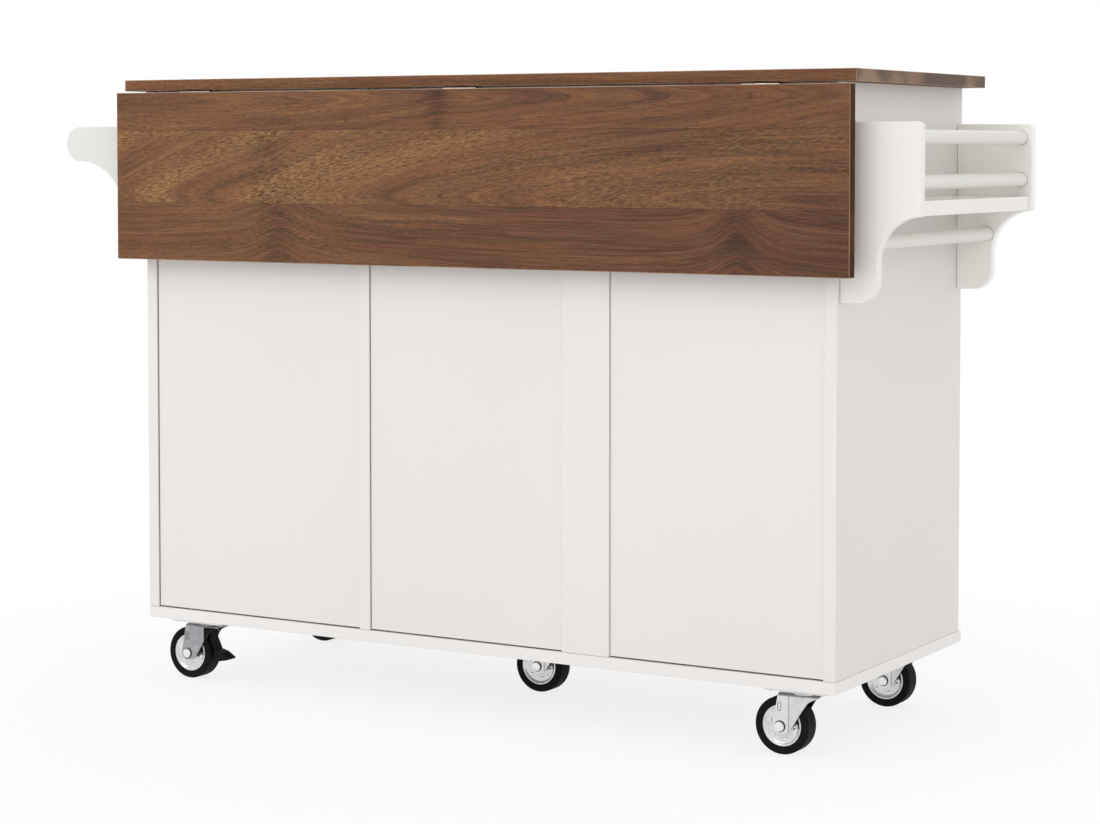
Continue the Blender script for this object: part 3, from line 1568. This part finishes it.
    def shade(self, shape: Shape) -> None:
        """Gives the fork's inside, its folds and its flanges their own finishes.

        Args:
            shape: The fork.
        """
        centre = self.axle()
        shape.mesh.normal_update()
        if self.braked:
            edge = centre + Vector((self.guard, 0, 0))
            everything = [*shape.mesh.verts, *shape.mesh.edges, *shape.mesh.faces]
            bmesh.ops.bisect_plane(shape.mesh, geom=everything, plane_co=edge, plane_no=(1, 0, 0))
        for face in shape.mesh.faces:
            face.material_index = self.finish_at(face, face.calc_center_median() - centre)
        shape.crease(Axis.X, centre.x + self.fold)

    def finish_at(self, face: bmesh.types.BMFace, middle: Vector) -> int:
        """Chooses the finish of one of the fork's faces.

        Args:
            face: The face.
            middle: Its middle, seen from the axle.

        Returns:
            The finish's slot, or the face's own slot where it keeps it.
        """
        outwards = face.normal.y * math.copysign(1.0, middle.y)
        under_crown = face.normal.z < -0.9 and middle.z > 30 * MM
        if outwards < -0.5 or under_crown:
            return ForkFinish.INSIDE
        if 0.3 < outwards < 0.95 and middle.z > self.crown - self.crown_round:
            return ForkFinish.CREASE
        if outwards > 0.95 and middle.x > self.fold:
            flush = abs(middle.y) > self.half - 0.4 * MM
            return ForkFinish.ZINC if flush else ForkFinish.INSIDE
        if outwards > 0.7 and middle.x < self.fold - self.fold_w:
            guarded = self.braked and middle.x < self.guard
            return ForkFinish.GUARD if guarded else ForkFinish.FLANGE
        if outwards > 0.7 and middle.x < self.fold:
            return ForkFinish.CREASE
        return face.material_index

    def fittings(self, shape: Shape, stem: Sequence[float]) -> None:
        """Adds the bearing cup, the axle with its cap and nut, and the pedal's pin.

        Args:
            shape: The fork.
            stem: Middle of the crown's upper face.
        """
        centre = self.axle()
        r, h = self.race_r, self.race_h
        bore = self.stem_r + 0.1 * MM
        cup = [(bore, 0), (bore, h), (r - 3 * MM, h), (r - 1.2 * MM, h - 0.5 * MM),
               (r, h - 1.8 * MM), (r, 1.6 * MM), (r - 0.8 * MM, 0)]
        shape.turned(cup, stem, Axis.Z, ForkFinish.ZINC, True)
        out = self.half
        shape.rod(centre, Axis.Y, -out - 3.6 * MM, out + 1 * MM, self.axle_r)
        shape.turned(((self.washer_r, out), (self.washer_r, out + 0.7 * MM)), centre, Axis.Y,
                     ForkFinish.INSIDE)
        cap = [(self.cap_r, 0.7 * MM), (self.cap_r, 2.6 * MM), (self.cap_r - 0.6 * MM, 3.4 * MM),
               (self.cap_r - 2 * MM, 3.9 * MM), (0.5 * MM, 4 * MM)]
        shape.turned([(radius, out + y) for radius, y in cap], centre, Axis.Y, ForkFinish.BRIGHT)
        nut = self.placed(arc((0, 0), self.nut_r, 0, 300, 5))
        shape.prism(nut, Axis.Y, centre.y - out - self.nut_h, centre.y - out, ForkFinish.BRIGHT)
        if self.braked:
            pin = (centre.x + self.pivot[0], centre.y, centre.z + self.pivot[1])
            shape.rod(pin, Axis.Y, -self.pin_half, self.pin_half, self.pin_r, steps=24)

    def wheel(self) -> None:
        """Builds the riveted rim and the tyre."""
        centre = self.axle()
        half = in_mm(self.rim_half)
        profile = half + [(r, -y) for r, y in reversed(half)]
        shape = Shape()
        shape.turned(profile, centre, Axis.Y, 0, True, 64)
        for k in range(self.rivets):
            turn = 2 * math.pi * (k + 0.25) / self.rivets
            place = centre + self.rivet_ring * Vector((math.cos(turn), 0, math.sin(turn)))
            for side in (-1, 1):
                dome = [(r, side * y) for r, y in in_mm(self.rivet_dome)]
                shape.turned(dome, place, Axis.Y, 1, steps=20)
        shape.make(f"caster_{self.name}_rim", f"wheel_{self.name}",
                   (self.palette.rim, self.palette.bright), Slot.RIM, 0.25 * MM,
                   (f"wheel_rim_{self.name}",))
        tread, shoulder, r = self.tyre_half, self.shoulder_r, self.rim_r
        section = [(r, tread - 1.4 * MM), (r + 0.9 * MM, tread - 0.2 * MM), (r + 1.9 * MM, tread)]
        section += arc((self.tyre_r - shoulder, tread - shoulder), shoulder, 90, 0, 6)
        section += [(r, -y) for r, y in reversed(section)]
        shape = Shape()
        shape.turned(section, centre, Axis.Y, 0, True, 96)
        shape.make(f"caster_{self.name}_tyre", f"wheel_{self.name}", (self.palette.rubber,),
                   Slot.TYRE, 0.3 * MM, (f"tyre_{self.name}",))

    def pedal(self) -> None:
        """Builds the brake pedal with ribs on its tread."""
        middle = self.axle().y
        arm = arc(self.pivot, self.boss_r, -40, 140) + in_mm(self.arm_edge)
        shape = Shape()
        for drawing, half in ((arm, self.arm_half), (in_mm(self.shoe), self.shoe_half)):
            shape.prism(self.placed(drawing), Axis.Y, middle - half, middle + half)
        start, end = self.shoe[1], self.shoe[2]
        for k in range(self.ribs):
            at = self.rib_start + self.rib_pitch * k
            foot = (start[0] + (end[0] - start[0]) * at, start[1] + (end[1] - start[1]) * at)
            rib = in_mm([(foot[0] + x, foot[1] + z) for x, z in self.rib])
            shape.prism(self.placed(rib), Axis.Y, middle - self.rib_half, middle + self.rib_half)
        shape.make(f"caster_{self.name}_pedal", f"pedal_{self.name}", (self.palette.pedal,),
                   Slot.PEDAL, 0.7 * MM, (f"brake_pedal_{self.name}",))

    def build(self) -> None:
        """Builds the whole caster below its mounting plate."""
        self.fork()
        self.wheel()
        if self.braked:
            self.pedal()


@dataclass
class CasterPlates:
    """Mounting plates of the casters, each with its upper race, kingpin and screws."""

    palette: Palette
    casters: Sequence[Caster]
    length: float = 96 * MM
    width: float = 80 * MM
    thickness: float = 4 * MM
    corner: float = 7 * MM
    race_r: float = 20 * MM
    race_h: float = 3.35 * MM
    kingpin_r: float = 6 * MM
    nut_r: float = 9 * MM
    nut_h: float = 2.2 * MM
    screw_inset: float = 9 * MM
    screw_head: Outline = ((5, 0), (5, -0.9), (4.3, -1.6), (2.6, -2), (2.2, -2), (1.6, -1.2),
                           (0.4, -1.2))
    kingpin_foot: float = -16 * MM

    def plate(self, shape: Shape, stem: Vector) -> None:
        """Adds one plate with what is fixed to it.

        Args:
            shape: Shape to add to.
            stem: Middle of the plate's upper face.
        """
        a, b, c = self.length / 2, self.width / 2, self.corner
        outline: list[tuple[float, float]] = []
        corners = ((a - c, b - c, 0), (c - a, b - c, 90), (c - a, c - b, 180), (a - c, c - b, 270))
        for x, y, start in corners:
            outline += arc((stem.x + x, stem.y + y), c, start, start + 90, 6)
        shape.prism(outline, Axis.Z, stem.z - self.thickness, stem.z)
        r, top = self.race_r, -self.thickness
        shape.turned([(r - 3 * MM, top), (r - 1.4 * MM, top - 0.6 * MM), (r, top - 2.4 * MM),
                      (r, top - self.race_h)], stem, Axis.Z)
        foot = self.kingpin_foot
        shape.rod(stem, Axis.Z, foot, top - self.race_h, self.kingpin_r)
        nut = arc((stem.x, stem.y), self.nut_r, 0, 300, 5)
        shape.prism(nut, Axis.Z, stem.z + foot, stem.z + foot + self.nut_h, 1)
        for x in (-1, 1):
            for y in (-1, 1):
                place = stem + Vector((x * (a - self.screw_inset), y * (b - self.screw_inset), top))
                shape.turned(in_mm(self.screw_head), place, Axis.Z, 1, steps=20)

    def build(self) -> None:
        """Builds the plates of all the casters."""
        shape = Shape()
        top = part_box("caster_mounts")[1].z
        for caster in self.casters:
            axle = caster.axle()
            self.plate(shape, Vector((axle.x - caster.trail, axle.y, top)))
        shape.make("caster_mount_plates", "root", (self.palette.zinc, self.palette.bright),
                   Slot.STEEL, 0.25 * MM, ("caster_mounts",))


def shown_rays(tree: bpy.types.NodeTree) -> bpy.types.NodeSocket:
    """Finds the rays that show a thing as it is, in a mirror or through glass.

    Args:
        tree: Node tree to build in.

    Returns:
        Socket that is 1 for such a ray and 0 for the others.
    """
    rays = tree.nodes.new("ShaderNodeLightPath")
    shown = rays.outputs["Is Camera Ray"]
    for name in ("Is Glossy Ray", "Is Transmission Ray"):
        either = tree.nodes.new("ShaderNodeMath")
        either.operation = "MAXIMUM"
        tree.links.new(shown, either.inputs[0])
        tree.links.new(rays.outputs[name], either.inputs[1])
        shown = either.outputs[0]
    return shown


@dataclass
class Studio:
    """Floor, lights, backdrop and camera."""

    lens: float = 85.11
    rise: float = -0.13
    place: tuple[float, float, float] = (-2.02467, 3.36992, 0.82462)
    towards: tuple[float, float, float] = (0.50693, -0.86076, -0.04599)
    fill: float = 0.95
    key: float = 22.0
    floor_reach: float = 12.0

    def world(self) -> None:
        """Makes the world: white to the camera and in reflections, a soft fill for the rest."""
        world = bpy.data.worlds.new("studio_world")
        world.use_nodes = True
        tree = world.node_tree
        background = tree.nodes["Background"]
        level = tree.nodes.new("ShaderNodeMapRange")
        tree.links.new(shown_rays(tree), level.inputs["Value"])
        level.inputs["To Min"].default_value = self.fill
        level.inputs["To Max"].default_value = 1.0
        background.inputs["Color"].default_value = (1.0, 1.0, 1.0, 1.0)
        tree.links.new(level.outputs[0], background.inputs["Strength"])
        bpy.context.scene.world = world

    def floor(self) -> None:
        """Lays a pale floor that shows the shadow and turns white away from the island."""
        graph = Graph("studio_floor")
        speckle = graph.noise(graph.stretch(40.0), 3.0)
        tone = graph.mix(graph.spread(speckle, 0.35, 0.65), tint(236, 236, 236), tint(242, 242, 242))
        graph.surface(tone, 0.9, Specular_IOR_Level=0.1)
        white = graph.node("ShaderNodeEmission")
        far = graph.node("ShaderNodeVectorMath", operation="LENGTH")
        graph.feed(far.inputs[0], graph.place)
        share = graph.spread(far.outputs["Value"], 0.7, 1.3, 0.8, 1.0)
        mixed = graph.node("ShaderNodeMixShader")
        graph.feed(mixed.inputs[0], graph.times(shown_rays(graph.tree), share))
        graph.feed(mixed.inputs[1], graph.shader.outputs[0])
        graph.feed(mixed.inputs[2], white.outputs[0])
        graph.feed(graph.tree.nodes["Material Output"].inputs["Surface"], mixed.outputs[0])
        mesh = bpy.data.meshes.new("studio_floor")
        out = self.floor_reach
        mesh.from_pydata([(-out, -out, 0), (out, -out, 0), (out, out, 0), (-out, out, 0)], [],
                         [(0, 1, 2, 3)])
        mesh.materials.append(graph.material)
        floor = bpy.data.objects.new("studio_floor", mesh)
        bpy.context.scene.collection.objects.link(floor)

    def lamp(self, name: str, place: tuple[float, float, float], size: float, power: float) -> None:
        """Hangs a square area lamp that looks at the island.

        Args:
            name: Name of the lamp.
            place: Where it hangs.
            size: Length of its side.
            power: Its power in watts.
        """
        light = bpy.data.lights.new(name, "AREA")
        light.size = size
        light.energy = power
        lamp = bpy.data.objects.new(name, light)
        lamp.location = place
        lamp.rotation_euler = (Vector((0, 0, 0.5)) - Vector(place)).to_track_quat("-Z", "Y").to_euler()
        bpy.context.scene.collection.objects.link(lamp)

    def camera(self) -> None:
        """Sets the camera up as the photograph was taken."""
        data = bpy.data.cameras.new("photo_camera")
        data.sensor_width = 36
        data.lens = self.lens
        data.shift_y = self.rise
        data.clip_end = 100
        camera = bpy.data.objects.new("photo_camera", data)
        camera.location = self.place
        camera.rotation_euler = Vector(self.towards).to_track_quat("-Z", "Y").to_euler()
        bpy.context.scene.collection.objects.link(camera)
        bpy.context.scene.camera = camera

    def build(self) -> None:
        """Builds the whole studio."""
        bpy.context.scene.view_settings.view_transform = "Standard"
        self.world()
        self.floor()
        self.lamp("key_lamp", (0.6, 3.4, 3.2), 2.6, self.key)
        self.camera()


def main() -> None:
    """Builds the island, sub-assembly by sub-assembly, and the studio round it."""
    logging.basicConfig(level=logging.INFO, format="%(name)s: %(message)s")
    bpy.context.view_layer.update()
    palette = Palette()
    Carcass(palette).build()
    Tops(palette).build()
    Fronts(palette).build()
    for number in (1, 2, 3):
        DrawerBox(palette, number).build()
    EndRacks(palette).build()
    casters = [Caster(palette, name, name.endswith("bar"))
               for name in ("back_rack", "back_bar", "front_rack", "front_bar", "middle")]
    for caster in casters:
        caster.build()
    CasterPlates(palette, casters).build()
    Studio().build()


if __name__ == "__main__":
    main()
